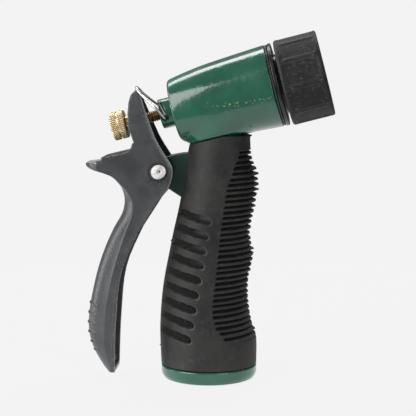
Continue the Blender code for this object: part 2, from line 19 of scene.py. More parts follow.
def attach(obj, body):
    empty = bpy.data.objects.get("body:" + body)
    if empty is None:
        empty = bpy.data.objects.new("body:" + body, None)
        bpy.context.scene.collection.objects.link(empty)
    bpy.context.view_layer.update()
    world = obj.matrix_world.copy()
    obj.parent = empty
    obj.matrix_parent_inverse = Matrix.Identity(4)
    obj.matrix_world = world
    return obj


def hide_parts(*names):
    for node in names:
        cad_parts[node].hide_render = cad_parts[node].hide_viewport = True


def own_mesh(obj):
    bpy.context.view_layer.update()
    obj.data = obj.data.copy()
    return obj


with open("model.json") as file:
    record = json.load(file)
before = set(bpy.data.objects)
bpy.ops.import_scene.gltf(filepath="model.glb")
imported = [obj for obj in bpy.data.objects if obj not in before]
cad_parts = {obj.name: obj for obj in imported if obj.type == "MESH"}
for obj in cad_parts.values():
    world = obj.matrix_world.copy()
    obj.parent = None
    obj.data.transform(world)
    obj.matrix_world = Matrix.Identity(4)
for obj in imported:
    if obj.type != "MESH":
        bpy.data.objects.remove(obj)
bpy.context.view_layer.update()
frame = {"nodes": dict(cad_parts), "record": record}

MM = 0.001

JOINTS = {joint["name"]: joint for joint in frame["record"]["behaviour"]["joints"]}
PIVOT_WORLD = Vector(JOINTS["trigger_squeeze"]["pos_m"]) / MM
BARREL_WORLD = Vector(JOINTS["nut_turn"]["pos_m"]) / MM
SPRAY = Vector(JOINTS["nut_turn"]["axis"])
CLIP_WORLD = Vector(JOINTS["clip_lift"]["pos_m"]) / MM

# Handle frame
PIVOT = (-20.7, 88.9)
DATUM = PIVOT_WORLD - Vector((PIVOT[0], 0, PIVOT[1]))
BARREL_POINT = (BARREL_WORLD.x - DATUM.x, BARREL_WORLD.z)
CLIP_PIVOT = (CLIP_WORLD.x - DATUM.x, CLIP_WORLD.z)
TILT_COS = SPRAY.x
TILT_SIN = SPRAY.z

# Return spring, along the barrel's axis
SPRING_REAR = -36.4
SPRING_FRONT = 4.5
SPRING_RADIUS = 5.6
SPRING_WIRE_RADIUS = 0.6
SPRING_TURNS = 11

# Handle. A row of HANDLE is height, rear, front and half width of the sleeve's oval.
BASE_CENTRE_X = 0.3
BASE_RADIUS = 20.4
BASE_HEIGHT = 6.0
SOCKET_RADIUS = 13.2
SOCKET_DEPTH = 12.0
WATERWAY_RADIUS = 6.0
WATERWAY_TOP = 114.0
HANDLE = (
    (6.3, -20.1, 20.7, 20.4), (18.0, -20.6, 20.5, 19.6), (25.0, -20.5, 18.4, 18.4),
    (36.0, -19.7, 16.9, 16.7), (45.0, -18.4, 17.4, 15.7), (53.0, -16.8, 19.1, 15.2),
    (63.0, -14.8, 17.7, 14.7), (74.0, -12.3, 19.6, 14.3), (84.0, -10.5, 21.0, 14.0),
    (90.0, -9.5, 20.2, 13.6), (96.0, -8.7, 18.2, 13.0), (112.0, -5.5, 17.6, 11.5),
)
SLEEVE_FOOT = 6.3
SLEEVE_WALL = 2.6
SLEEVE_TOP_U = -14.9
SLEEVE_TOP_Z = 104.4
RIB_PITCH = 2.3
RIB_FIRST_Z = 18.5
RIB_COUNT = 35
RIB_DEPTH = 1.4
RIB_PANEL = ((18.5, 8.4), (25.0, 3.6), (32.0, 2.3), (46.0, 3.8), (64.0, 5.6), (83.0, 8.3), (97.0, 13.4))
SLOT_COUNT = 9
SLOT_HEIGHT = 3.4
SLOT_DEPTH = 1.6
SLOT_SLOPE = tan(radians(13))
SLOT_LOWEST = (-7.2, 19.5)
SLOT_HIGHEST = (0.9, 69.1)
SLOT_REAR_ANGLE = radians(167)
LUG_HALF_WIDTH = 4.6
LUG_END_RADIUS = 5.6
LUG_END = [radians(95 + 12 * i) for i in range(13)]
LUG_OUTLINE = (
    (-2.0, 97.0), (-11.0, 96.4),
    *((PIVOT[0] + LUG_END_RADIUS * cos(a), PIVOT[1] + LUG_END_RADIUS * sin(a)) for a in LUG_END),
    (-16.7, 81.6), (-10.5, 77.6), (-2.0, 77.6),
)
EYE_RADIUS = 4.4
EYE_HALF_WIDTH = 7.8

# Barrel
BARREL_REAR = -43.6
BARREL = (
    (BARREL_REAR, 12.7), (-42.3, 13.3), (-36.0, 14.5), (-28.0, 15.6), (-20.0, 16.25), (-10.0, 16.9),
    (0.1, 17.5),
)
SADDLE_BOTTOM = -14.6
HOSE_THREAD_PITCH = 2.21
BOSS_REAR = -49.2
BOSS_RADIUS = 6.25
CHAMBER_RADIUS = 10.5
CHAMBER_REAR = -38.0

# Lever, from bottom to top. LEVER_BACK is height, back, crease. LEVER_WIDTH is height, half width.
LEVER_BACK = (
    (2.7, -43.4, -41.5), (5.0, -45.4, -41.4), (10.5, -48.7, -43.2), (16.0, -50.8, -44.2),
    (21.0, -51.6, -44.1), (28.0, -51.3, -43.7), (36.0, -49.9, -42.6), (46.0, -47.5, -40.5),
    (55.0, -44.5, -38.0), (64.0, -40.5, -35.0), (71.0, -36.6, -32.4), (76.5, -35.6, -32.1),
    (81.3, -36.6, -34.2), (84.2, -38.5, -36.6), (86.9, -41.5, -39.6), (88.3, -45.2, -43.0),
    (89.2, -49.2, -45.5), (90.6, -51.7, -46.4), (92.6, -52.3, -46.5),
)
LEVER_TOP = (
    (-30.4, 123.4), (-31.9, 122.3), (-33.0, 120.6), (-33.8, 117.7), (-34.1, 112.9), (-33.7, 107.4),
    (-32.3, 103.4), (-31.4, 101.0), (-31.7, 99.4), (-32.8, 98.0), (-34.6, 97.2), (-45.2, 94.6),
    (-45.7, 94.1), (-45.7, 92.8), (-60.0, 92.2),
)
LEVER_FRONT = (
    (-39.6, 2.7), (-39.5, 5.0), (-39.4, 10.5), (-39.0, 21.0), (-38.5, 28.0), (-37.9, 36.0),
    (-37.3, 41.0), (-36.3, 46.0), (-34.9, 50.5), (-33.0, 55.0), (-30.9, 59.5), (-28.7, 64.0),
    (-24.2, 71.0), (-20.7, 76.5), (-17.8, 79.9), (-16.1, 82.2), (-15.1, 84.4), (-14.4, 86.9),
    (-14.1, 89.2), (-14.3, 90.9), (-15.0, 92.6), (-16.2, 94.4), (-19.0, 98.8), (-20.3, 101.0),
    (-21.6, 103.4), (-23.3, 107.4), (-25.5, 112.9), (-27.3, 117.7), (-28.4, 121.0), (-29.2, 123.4),
)
LEVER_WIDTH = (
    (2.7, 8.4), (5.0, 8.9), (10.5, 9.4), (21.0, 9.7), (36.0, 9.9), (46.0, 10.0), (94.0, 10.0),
    (98.8, 9.6), (103.4, 8.9), (107.4, 8.2), (112.9, 6.8), (117.7, 4.8), (121.0, 3.3), (123.4, 2.3),
)
LEVER_WALL = 1.8
LEVER_SLOT_RADIUS = 3.7
LEVER_SLOT_RISE = 2.4
LEVER_TIP = 123.4
LEDGE = 92.6
BEAK_PIP = (-46.3, 92.9)
BEAK_PIP_Y = 9.0
THUMB_RIBS = (32.0, 27.7, 23.5, 19.3, 15.1, 11.5)
LEVER_LOW = tuple((back - 4, height) for height, back, _ in LEVER_BACK[:-3])
LEVER_OUTLINE = (*LEVER_FRONT, *LEVER_TOP, (-60.0, 80.0), *reversed(LEVER_LOW), (-60.0, 2.7))
LEVER_OPEN = ((60.0, 2.7), (60.0, LEVER_TIP), *LEVER_TOP[:-1], (-52.3, 92.2),
              *((back, height) for height, back, _ in reversed(LEVER_BACK[:-1])))
LEVER_FAR_BACK = (*LEVER_FRONT, (-29.0, 140.0), (-90.0, 140.0), (-90.0, -20.0), (-39.6, -20.0))

# Collar
COLLAR_REAR = 4.1
COLLAR_FRONT = 22.3
COLLAR_RADIUS = 18.2
COLLAR_BORE = 13.65
LAND_COUNT = 10
FLAT_RADIUS = 17.25
INSIDE_FLATS = 16.5
FIRST_LAND = radians(7)

# Camera, in metres
CAMERA_DISTANCE = 0.65
VIEW_WIDTH = 0.1768

# Nut and stem
NUT_FRONT = -64.35
NUT_LENGTH = 6.2
NUT_RADIUS = 6.1
KNURL_COUNT = 42
KNURL_DEPTH = 0.32
STEM_THREAD_PITCH = 0.9
STEM_THREAD_DEPTH = 0.3
STEM_RADIUS = 2.05


# ---- numbers and fields

def steps(value, low, high):
    """0 below low, 1 above high and smooth between."""
    share = limited((value - low) / (high - low))
    return share * share * (3 - 2 * share)


def bell(value, width):
    """1 where value is 0, and fading to both sides over the width."""
    return np.exp(-((value / width) ** 2))


def limited(value):
    return np.clip(value, 0, 1)


def apart(points):
    """The columns of an array of points, such as x, y and z."""
    return np.moveaxis(points, -1, 0)


def curve_through(rows, height):
    """Smooth values at the heights, one array for each column after the first."""
    rows = np.array(rows, float)
    heights = rows[:, 0]
    height = np.clip(height, heights[0], heights[-1])
    i = np.clip(np.searchsorted(heights, height, side="right") - 1, 0, len(rows) - 2)
    slopes = np.empty_like(rows[:, 1:])
    slopes[1:-1] = (rows[2:, 1:] - rows[:-2, 1:]) / (rows[2:, :1] - rows[:-2, :1])
    slopes[0] = (rows[1, 1:] - rows[0, 1:]) / (rows[1, 0] - rows[0, 0])
    slopes[-1] = (rows[-1, 1:] - rows[-2, 1:]) / (rows[-1, 0] - rows[-2, 0])
    span = (heights[i + 1] - heights[i])[..., None]
    t = (height - heights[i])[..., None] / span
    values = (
        (2 * t**3 - 3 * t**2 + 1) * rows[i, 1:] + (t**3 - 2 * t**2 + t) * slopes[i] * span
        + (3 * t**2 - 2 * t**3) * rows[i + 1, 1:] + (t**3 - t**2) * slopes[i + 1] * span
    )
    return list(apart(values))


def straight(rows, height):
    return np.interp(height, *np.array(rows, float).T)


def cut(a, b, radius):
    """Distance to what lies inside both shapes, with their meeting edge rounded."""
    corner = hypot(maximum(a + radius, 0), maximum(b + radius, 0))
    return minimum(maximum(a, b), -radius) + corner


def weld(a, b, radius):
    """Distance to two shapes joined with a hollow fillet."""
    return -cut(-a, -b, radius)


def outline_distance(x, z, outline):
    """Signed distance to a closed outline of (x, z), negative inside."""
    nearest = np.full(x.shape, 1e9)
    inside = np.zeros(x.shape, bool)
    for (x1, z1), (x2, z2) in zip(outline, (*outline[1:], outline[0])):
        ex, ez = x2 - x1, z2 - z1
        wx, wz = x - x1, z - z1
        t = limited((wx * ex + wz * ez) / (ex * ex + ez * ez))
        nearest = minimum(nearest, (wx - ex * t) ** 2 + (wz - ez * t) ** 2)
        crossed = ((z1 <= z) & (z < z2)) | ((z2 <= z) & (z < z1))
        inside ^= crossed & ((ex * wz - ez * wx > 0) == (z2 > z1))
    return np.where(inside, -1, 1) * np.sqrt(nearest)


def on_barrel(points):
    """Handle-frame points as the barrel's s, y and u."""
    x = points[..., 0] - BARREL_POINT[0]
    z = points[..., 2] - BARREL_POINT[1]
    return x * TILT_COS + z * TILT_SIN, points[..., 1], z * TILT_COS - x * TILT_SIN


def from_barrel(s, y, u):
    """The barrel's s, y and u as handle-frame points."""
    x = BARREL_POINT[0] + s * TILT_COS - u * TILT_SIN
    z = BARREL_POINT[1] + s * TILT_SIN + u * TILT_COS
    return np.stack(np.broadcast_arrays(x, y, z), -1)


def thread_wave(along, angle, pitch):
    """0 to 1 to 0 over each turn of a thread."""
    return np.abs(((along / pitch - angle / (2 * pi)) % 1) - 0.5) * 2


def oval_distance(x, y, middle, reach, width):
    """Near distance to an ellipse with those half axes."""
    scaled = hypot((x - middle) / reach, y / width)
    steep = hypot((x - middle) / reach**2, y / width**2)
    return (scaled - 1) * scaled / maximum(steep, 1e-6)


# ---- meshes

def finish_mesh(name, points, faces, material, body, replaced, marks=None, normals=None):
    """An object from handle-frame millimetres that rides on a body and stands for CAD nodes."""
    mesh = bpy.data.meshes.new(name)
    places = (points + np.array(DATUM)) * MM
    mesh.vertices.add(len(places))
    mesh.vertices.foreach_set("co", places.ravel())
    mesh.loops.add(faces.size)
    mesh.loops.foreach_set("vertex_index", faces.ravel())
    mesh.polygons.add(len(faces))
    mesh.polygons.foreach_set("loop_start", np.arange(0, faces.size, 4))
    mesh.update(calc_edges=True)
    mesh.validate()
    mesh.shade_smooth()
    for key, values in (marks or {}).items():
        attribute = mesh.attributes.new(key, "FLOAT", "POINT")
        attribute.data.foreach_set("value", np.asarray(values, np.float32).ravel())
    if normals is not None:
        mesh.normals_split_custom_set_from_vertices(normals)
    item = bpy.data.objects.new(name, mesh)
    bpy.context.scene.collection.objects.link(item)
    mesh.materials.append(material)
    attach(item, body)
    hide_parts(*replaced)
    return item


def grid_faces(rows, columns, wrap_rows=False):
    """Quads over rings of points, wound so that rows run up and columns run anticlockwise."""
    last_row = rows if wrap_rows else rows - 1
    i, j = np.indices((last_row, columns))
    up, across = (i + 1) % rows, (j + 1) % columns
    quads = (i * columns + j, i * columns + across, up * columns + across, up * columns + j)
    return np.stack(quads, -1).reshape(-1, 4)


BLOCK = 8


def field_values(distance, low, counts, step):
    """The field on a grid, worked out closely only in blocks of cells near the surface."""
    blocks = [count // BLOCK for count in counts]
    centres = low + (np.indices(blocks).reshape(3, -1).T + 0.5) * BLOCK * step
    rough = distance(centres).reshape(blocks)
    near = np.abs(rough) < BLOCK * step * 1.6
    for axis in range(3):
        rough = rough.repeat(BLOCK, axis)
        near = near.repeat(BLOCK, axis)
    rough[near] = distance(low + np.argwhere(near) * step)
    return rough


def slope_of(distance, points):
    """The field's value and slope at points."""
    reach = 0.02
    value = distance(points)
    slope = [(distance(points + shift) - value) / reach for shift in reach * np.eye(3)]
    return value, np.stack(slope, -1)


def skin(distance, low, high, step):
    """Points, faces and normals of the closed surface where a field is zero, by surface nets."""
    low = np.array(low, float)
    counts = [int(np.ceil((h - l) / step / BLOCK)) * BLOCK for l, h in zip(low, high)]
    value = field_values(distance, low, counts, step)
    inside = value < 0
    tally = np.zeros([count - 1 for count in counts], np.int8)
    for corner in np.ndindex(2, 2, 2):
        tally += inside[tuple(slice(c, c + n - 1) for c, n in zip(corner, counts))]
    mixed = (tally > 0) & (tally < 8)
    cells = np.argwhere(mixed)
    numbers = np.full(mixed.shape, -1)
    numbers[mixed] = np.arange(len(cells))
    total = np.zeros((len(cells), 3))
    crossings = np.zeros(len(cells))
    faces = []
    for axis in range(3):
        ahead, beside, above = np.roll(np.eye(3, dtype=int), -axis, 0)
        for i, j in np.ndindex(2, 2):
            start = cells + beside * i + above * j
            first = value[tuple(start.T)]
            second = value[tuple((start + ahead).T)]
            crossed = (first < 0) != (second < 0)
            share = np.where(crossed, first / np.where(crossed, first - second, 1), 0)
            total[crossed] += (start + share[:, None] * ahead)[crossed]
            crossings += crossed
        here = inside[: counts[0] - ahead[0], : counts[1] - ahead[1], : counts[2] - ahead[2]]
        there = inside[ahead[0]:, ahead[1]:, ahead[2]:]
        edges = np.argwhere(here != there)
        edges = edges[(edges * (beside + above) > 0).sum(1) == 2]
        around = [edges, edges - beside, edges - beside - above, edges - above]
        quads = np.stack([numbers[tuple(cell.T)] for cell in around], -1)
        outward = inside[tuple(edges.T)]
        quads[~outward] = quads[~outward][:, ::-1]
        faces.append(quads)
    points = low + total / crossings[:, None] * step
    for _ in range(4):
        value, slope = slope_of(distance, points)
        move = value / maximum((slope**2).sum(1), 1e-6)
        move = (move[:, None] * slope).clip(-step / 2, step / 2)
        points = points - move
    slope = slope_of(distance, points)[1]
    normals = slope / norm(slope, axis=1, keepdims=True)
    return points, np.concatenate(faces), normals


def round_angles(count):
    return np.linspace(0, 2 * pi, count, endpoint=False)


def turning(profile, count):
    """The s, radius and angle of every point of a turned profile."""
    angles = round_angles(count)
    s, radius = np.array(profile, float).T[:, :, None] + 0 * angles
    return s, radius, angles + 0 * s


def turned(profile, count, swell):
    """Points and faces of a closed profile of (s, radius) turned about the barrel's axis."""
    s, radius, angle = turning(profile, count)
    radius = radius + swell(s, radius, angle)
    points = from_barrel(s, radius * np.cos(angle), radius * np.sin(angle))
    return points.reshape(-1, 3), grid_faces(len(profile), count, wrap_rows=True)[:, ::-1]


def rounded(corners, radius, pieces=4):
    """A closed outline with every corner rounded; a corner may bring its own radius."""
    result = []
    count = len(corners)
    for k in range(count):
        here = np.array(corners[k][:2], float)
        before = np.array(corners[k - 1][:2], float) - here
        after = np.array(corners[(k + 1) % count][:2], float) - here
        own = corners[k][2] if len(corners[k]) > 2 else radius
        reach = min(own, norm(before) * 0.45, norm(after) * 0.45)
        start = here + before / norm(before) * reach
        end = here + after / norm(after) * reach
        for t in np.linspace(0, 1, pieces + 1):
            result.append((1 - t) ** 2 * start + 2 * t * (1 - t) * here + t**2 * end)
    return np.array(result)


def finely(outline, step):
    """A closed outline with points added so that none lie further apart than step."""
    result = []
    for here, after in zip(outline, np.roll(outline, -1, 0)):
        pieces = max(1, int(np.ceil(norm(after - here) / step)))
        result += [here + (after - here) * k / pieces for k in range(pieces)]
    return np.array(result)


# ---- materials

class Paint:
    """One Principled material and short ways to add the nodes that feed it."""

    def __init__(self, name, **sockets):
        self.material = bpy.data.materials.new(name)
        self.material.use_nodes = True
        self.tree = self.material.node_tree
        self.shader = self.tree.nodes["Principled BSDF"]
        for key, value in sockets.items():
            self.shader.inputs[key.replace("_", " ")].default_value = value
        self.place = self.tree.nodes.new("ShaderNodeTexCoord").outputs["Object"]

    def node(self, kind, inputs=None, **settings):
        made = self.tree.nodes.new(f"ShaderNode{kind}")
        for key, value in settings.items():
            setattr(made, key, value)
        for key, value in (inputs or {}).items():
            if isinstance(value, bpy.types.NodeSocket):
                self.tree.links.new(value, made.inputs[key])
            else:
                made.inputs[key].default_value = value
        return made

    def noise(self, scale, detail=3.0, roughness=0.55, stretch=None):
        place = self.place
        if stretch:
            place = self.node("Mapping", {"Vector": place, "Scale": stretch}).outputs[0]
        inputs = {"Vector": place, "Scale": scale, "Detail": detail, "Roughness": roughness}
        return self.node("TexNoise", inputs).outputs["Fac"]

    def mark(self, name):
        return self.node("Attribute", attribute_name=name).outputs["Fac"]

    def scaled(self, value, low, high, to_low=0.0, to_high=1.0):
        names = ("From Min", "From Max", "To Min", "To Max")
        inputs = {"Value": value, **dict(zip(names, (low, high, to_low, to_high)))}
        return self.node("MapRange", inputs, interpolation_type="SMOOTHSTEP").outputs[0]

    def times(self, a, b):
        return self.node("Math", {0: a, 1: b}, operation="MULTIPLY").outputs[0]

    def larger(self, a, b):
        return self.node("Math", {0: a, 1: b}, operation="MAXIMUM").outputs[0]

    def mix(self, factor, first, second):
        first, second = ((*c, 1) if isinstance(c, tuple) else c for c in (first, second))
        return self.node("Mix", {0: factor, 6: first, 7: second}, data_type="RGBA").outputs[2]

    def bump(self, height, strength, distance, normal=None):
        inputs = {"Height": height, "Strength": strength, "Distance": distance}
        if normal is not None:
            inputs["Normal"] = normal
        return self.node("Bump", inputs).outputs[0]

    def finish(self, colour, roughness, normal, metal=None):
        """Links the nodes to the shader and gives the material."""
        keys = ("Base Color", "Roughness", "Normal", "Metallic")
        for key, socket in zip(keys, (colour, roughness, normal, metal)):
            if socket is not None:
                self.tree.links.new(socket, self.shader.inputs[key])
        return self.material


def enamel_paint():
    """Glossy dark green enamel: a wet orange-peel skin, dust specks, thin spots on edges, and painted
    shade on the lug and in the clip hollows.
    """
    paint = Paint("green_enamel", Roughness=0.2, Coat_Weight=0.6, Coat_Roughness=0.05)
    cloud = paint.noise(60.0, 4)
    colour = paint.mix(paint.scaled(cloud, 0.35, 0.65), (0.014, 0.093, 0.057), (0.021, 0.124, 0.076))
    fine = {0: paint.noise(1100.0, 3, 0.6), 1: paint.times(paint.mark("scuff"), 0.2)}
    specks = paint.scaled(paint.node("Math", fine, operation="ADD").outputs[0], 0.73, 0.81)
    colour = paint.mix(specks, colour, (0.24, 0.33, 0.17))
    colour = paint.mix(paint.mark("edge"), colour, (0.10, 0.26, 0.19))
    # Painted shade: this mark darkens the lug between the lever's walls and the clip hollows in the boss;
    # on the lever it carries grime and painted shade.
    colour = paint.mix(paint.mark("grime_and_painted_shade"), colour, (0.005, 0.014, 0.010))
    rough = paint.larger(paint.scaled(cloud, 0.3, 0.7, 0.14, 0.24), paint.times(specks, 0.6))
    peel = paint.bump(paint.noise(420.0, 2), 0.16, 0.0006)
    return paint.finish(colour, rough, paint.bump(paint.noise(1500.0, 2), 0.14, 0.0002, peel))


def rubber_paint():
    """Matte moulded rubber with a dusty bloom, grit in its slots, painted shade in its slots and rib
    grooves, and a painted highlight on the slot rims.
    """
    paint = Paint("grip_rubber", Roughness=0.62, Specular_IOR_Level=0.42)
    cloud = paint.noise(45.0, 7, 0.68)
    colour = paint.mix(paint.scaled(cloud, 0.36, 0.66), (0.009, 0.009, 0.009), (0.027, 0.026, 0.024))
    bloom = paint.scaled(paint.noise(300.0, 6, 0.78), 0.50, 0.70, 0, 0.6)
    colour = paint.mix(bloom, colour, (0.048, 0.046, 0.042))
    grit = paint.scaled(paint.noise(1100.0, 3, 0.7), 0.62, 0.74)
    slot = paint.mark("slot")
    dust = paint.times(grit, paint.scaled(slot, 0, 1, 0.10, 0.7))
    # Painted shade: slots and rib grooves are darkened where shade falls in them.
    colour = paint.mix(paint.times(slot, 0.85), colour, (0.006, 0.006, 0.005))
    colour = paint.mix(paint.mark("groove"), colour, (0.004, 0.004, 0.004))
    colour = paint.mix(dust, colour, (0.17, 0.15, 0.11))
    # Painted highlight: a lighter line on the slot rims.
    colour = paint.mix(paint.mark("rim"), colour, (0.085, 0.082, 0.075))
    matt = paint.times(paint.larger(slot, paint.mark("groove")), 0.95)
    rough = paint.larger(matt, paint.scaled(cloud, 0.3, 0.7, 0.5, 0.68))
    grain = paint.bump(paint.noise(1600.0, 3, 0.65), 0.35, 0.0002)
    floor = paint.times(paint.noise(700.0, 4, 0.7), slot)
    return paint.finish(colour, rough, paint.bump(floor, 1.0, 0.0012, grain))


def lever_paint():
    """Satin black paint on a casting, worn bright along its edges, with painted highlights on the beak and
    the upper front edge, and grime and painted shade near the rivet and on the ledge.
    """
    paint = Paint("lever_paint", Roughness=0.4, Specular_IOR_Level=0.5)
    cloud = paint.noise(80.0, 5, 0.6)
    colour = paint.mix(paint.scaled(cloud, 0.3, 0.7), (0.049, 0.051, 0.055), (0.073, 0.075, 0.079))
    specks = paint.scaled(paint.noise(1300.0, 2, 0.6), 0.70, 0.76, 0, 0.35)
    colour = paint.mix(specks, colour, (0.20, 0.20, 0.20))
    break_up = paint.scaled(paint.noise(700.0, 4, 0.7), 0.42, 0.66)
    worn = paint.times(paint.mark("wear"), break_up)
    colour = paint.mix(worn, colour, (0.42, 0.41, 0.39))
    # Painted highlight: plain light grey on the beak's top, its pips and the upper front edge.
    colour = paint.mix(paint.mark("painted_highlight"), colour, (0.50, 0.50, 0.50))
    # Grime round the rivet and chips below it, and painted shade on the ledge's top.
    colour = paint.mix(paint.mark("grime_and_painted_shade"), colour, (0.012, 0.012, 0.012))
    rough = paint.scaled(cloud, 0.3, 0.7, 0.27, 0.40)
    grain = paint.bump(paint.noise(1100.0, 4, 0.6), 0.25, 0.0002)
    return paint.finish(colour, rough, grain, paint.times(worn, 0.8))


def collar_paint():
    """Dull black moulded plastic with pale dust worked into it, and a painted highlight along the land
    edges.
    """
    paint = Paint("collar_plastic", Roughness=0.5, Specular_IOR_Level=0.3)
    cloud = paint.noise(120.0, 5, 0.65)
    colour = paint.mix(paint.scaled(cloud, 0.35, 0.7), (0.011, 0.011, 0.011), (0.024, 0.023, 0.022))
    dust = paint.scaled(paint.noise(1000.0, 4, 0.75, (0.5, 1, 1)), 0.54, 0.72)
    amount = paint.scaled(paint.mark("dust"), 0, 1, 0.25, 0.95)
    colour = paint.mix(paint.times(dust, amount), colour, (0.19, 0.185, 0.175))
    # Painted highlight along the land edges; the rear rim is paler with dust.
    colour = paint.mix(paint.times(paint.mark("edge"), 0.4), colour, (0.10, 0.095, 0.085))
    grain = paint.bump(paint.noise(900.0, 4, 0.6), 0.4, 0.0003)
    return paint.finish(colour, paint.scaled(cloud, 0.3, 0.7, 0.5, 0.7), grain)


def head_paint():
    """The black insert behind the collar: glossier paint with pale dust specks."""
    paint = Paint("head_black", Roughness=0.28)
    cloud = paint.noise(200.0, 4)
    colour = paint.mix(paint.scaled(cloud, 0.3, 0.7), (0.014, 0.014, 0.014), (0.026, 0.026, 0.027))
    dust = paint.scaled(paint.noise(1500.0, 3, 0.7), 0.64, 0.74, 0, 0.35)
    colour = paint.mix(dust, colour, (0.25, 0.25, 0.24))
    grain = paint.bump(paint.noise(700.0, 3), 0.25, 0.0002)
    return paint.finish(colour, paint.scaled(cloud, 0.3, 0.7, 0.2, 0.36), grain)


def brass_paint(name, bright, dark, roughness, stain):
    """Brass with brown staining in its hollows; stain sets how much of it is dark."""
    paint = Paint(name, Metallic=1.0, Roughness=roughness)
    cloud = paint.scaled(paint.noise(380.0, 5, 0.7), 0.62 - stain, 0.78 - stain)
    shade = paint.larger(cloud, paint.mark("hollow"))
    rough = paint.scaled(shade, 0, 1, roughness, roughness + 0.25)
    grain = paint.bump(paint.noise(1400.0, 2, 0.5), 0.08, 0.0002)
    return paint.finish(paint.mix(shade, bright, dark), rough, grain)


def steel_paint(name, colour, roughness, grain, metal=1.0):
    """Bright plated steel with a fine grain, dull patches, and painted shade where a hollow mark is given.
    """
    paint = Paint(name, Metallic=metal, Roughness=roughness)
    cloud = paint.scaled(paint.noise(300.0, 4, 0.6), 0.35, 0.7)
    dull = tuple(c * 0.6 for c in colour)
    # Painted shade: the hollow mark darkens the rivet's dimple and ring.
    colour = paint.mix(paint.larger(cloud, paint.mark("hollow")), colour, dull)
    rough = paint.scaled(cloud, 0, 1, roughness, roughness + 0.15)
    return paint.finish(colour, rough, paint.bump(paint.noise(1200.0, 3), grain, 0.0002))


def seal_paint(name, colour, roughness):
    """Plain black sealing rubber, slightly mottled."""
    paint = Paint(name, Roughness=roughness)
    cloud = paint.scaled(paint.noise(150.0, 4), 0.3, 0.7)
    colour = paint.mix(cloud, colour, tuple(c * 1.8 for c in colour))
    rough = paint.scaled(cloud, 0, 1, roughness, roughness + 0.1)
    return paint.finish(colour, rough, paint.bump(paint.noise(1200.0, 3), 0.25, 0.0002))


# ---- the green casting

def handle_oval(height):
    rear, front, width = curve_through(HANDLE, height)
    return (rear + front) / 2, (front - rear) / 2, width


def barrel_field(points):
    """The tapered barrel with its round rear edge and the boss behind it."""
    s, y, u = on_barrel(points)
    around = hypot(y, u)
    radius = curve_through(BARREL, s)[0]
    barrel = cut(around - radius, maximum(s - 0.1, BARREL_REAR - s), 0.35)
    barrel = cut(barrel, BARREL_REAR - s, 1.6)
    boss = cut(around - BOSS_RADIUS, BOSS_REAR - s, 0.5)
    boss = maximum(boss, s + 40)
    return weld(barrel, boss, 1.0)


def saddle_field(points):
    """The flat-bottomed pad under the barrel that the sleeve butts against."""
    s, y, u = on_barrel(points)
    levels = (SADDLE_BOTTOM, -12.0, -5.0)
    rear = np.interp(u, levels, (-40.0, -39.8, -38.0))
    front = np.interp(u, levels, (-13.6, -11.5, -9.0))
    width = np.interp(u, levels[:2], (11.9, 12.2))
    wall = oval_distance(s, y, (rear + front) / 2, (front - rear) / 2, width)
    return maximum(cut(wall, SADDLE_BOTTOM - u, 1.0), u)


def core_field(points):
    """The handle's metal inside the sleeve."""
    x, y, z = apart(points)
    middle, reach, width = handle_oval(z)
    inset = SLEEVE_WALL + 0.3
    wall = oval_distance(x, y, middle, reach - inset, width - inset)
    return maximum(maximum(wall, 3 - z), z - HANDLE[-1][0])


def base_field(points):
    """The flange under the sleeve."""
    x, y, z = apart(points)
    around = hypot(x - BASE_CENTRE_X, y)
    profile = np.interp(z, (0, 0.7, 2.2, 3.4), (17.9, 19.4, 20.2, BASE_RADIUS))
    return cut(around - profile, maximum(-z, z - BASE_HEIGHT), 0.5)


def hollow_field(points):
    """Everything that is cut away: socket, waterway, chamber, stem and pin holes."""
    x, y, z = apart(points)
    out = hypot(x - BASE_CENTRE_X, y)
    turn = np.arctan2(y, x - BASE_CENTRE_X)
    wave = thread_wave(z, turn, HOSE_THREAD_PITCH)
    thread = SOCKET_RADIUS - 0.75 * steps(wave, 0.35, 0.85) * steps(z, 1.2, 1.8) * steps(z, 8.6, 8.2)
    socket = maximum(out - thread, z - SOCKET_DEPTH)
    lean = (z - SOCKET_DEPTH) / (WATERWAY_TOP - SOCKET_DEPTH) * (6.5 - BASE_CENTRE_X)
    waterway = hypot(x - BASE_CENTRE_X - lean, y) - WATERWAY_RADIUS
    waterway = maximum(maximum(waterway, z - WATERWAY_TOP), 5 - z)
    s, _, u = on_barrel(points)
    around = hypot(y, u)
    chamber = maximum(around - CHAMBER_RADIUS, CHAMBER_REAR - s)
    pocket = maximum(around - 4.9, -43.2 - s)
    bush = around - 3.5
    rivet = hypot(x - PIVOT[0], z - PIVOT[1]) - 1.9
    pin = maximum(hypot(x - CLIP_PIVOT[0], z - CLIP_PIVOT[1]) - 0.9, 4.1 - np.abs(y))
    return minimum.reduce([socket, waterway, chamber, pocket, bush, rivet, pin])


def clip_scoop(points):
    """The slanting hollow in each side of the boss where the clip's leg goes in."""
    start = np.array((CLIP_PIVOT[0] + 0.2, 6.5, CLIP_PIVOT[1] - 0.3))
    along = np.array((-3.6, -2.1, 6.3))
    offset = np.where((False, True, False), np.abs(points), points) - start
    t = limited(offset @ along / (along @ along))
    return norm(offset - t[..., None] * along, axis=-1) - 1.5


def casting_field(points):
    """The whole green casting: barrel, saddle, core, lug and base, less its hollows."""
    x, y, z = apart(points)
    body = weld(barrel_field(points), saddle_field(points), 3.4)
    core = core_field(points)
    lug = cut(outline_distance(x, z, LUG_OUTLINE), np.abs(y) - LUG_HALF_WIDTH, 0.5)
    around = hypot(x - PIVOT[0], z - PIVOT[1])
    eye = cut(around - EYE_RADIUS, np.abs(y) - EYE_HALF_WIDTH, 0.4)
    whole = minimum.reduce([body, core, weld(core, lug, 0.6), eye, base_field(points)])
    whole = cut(whole, -clip_scoop(points), 0.4)
    return cut(whole, -hollow_field(points), 0.25)


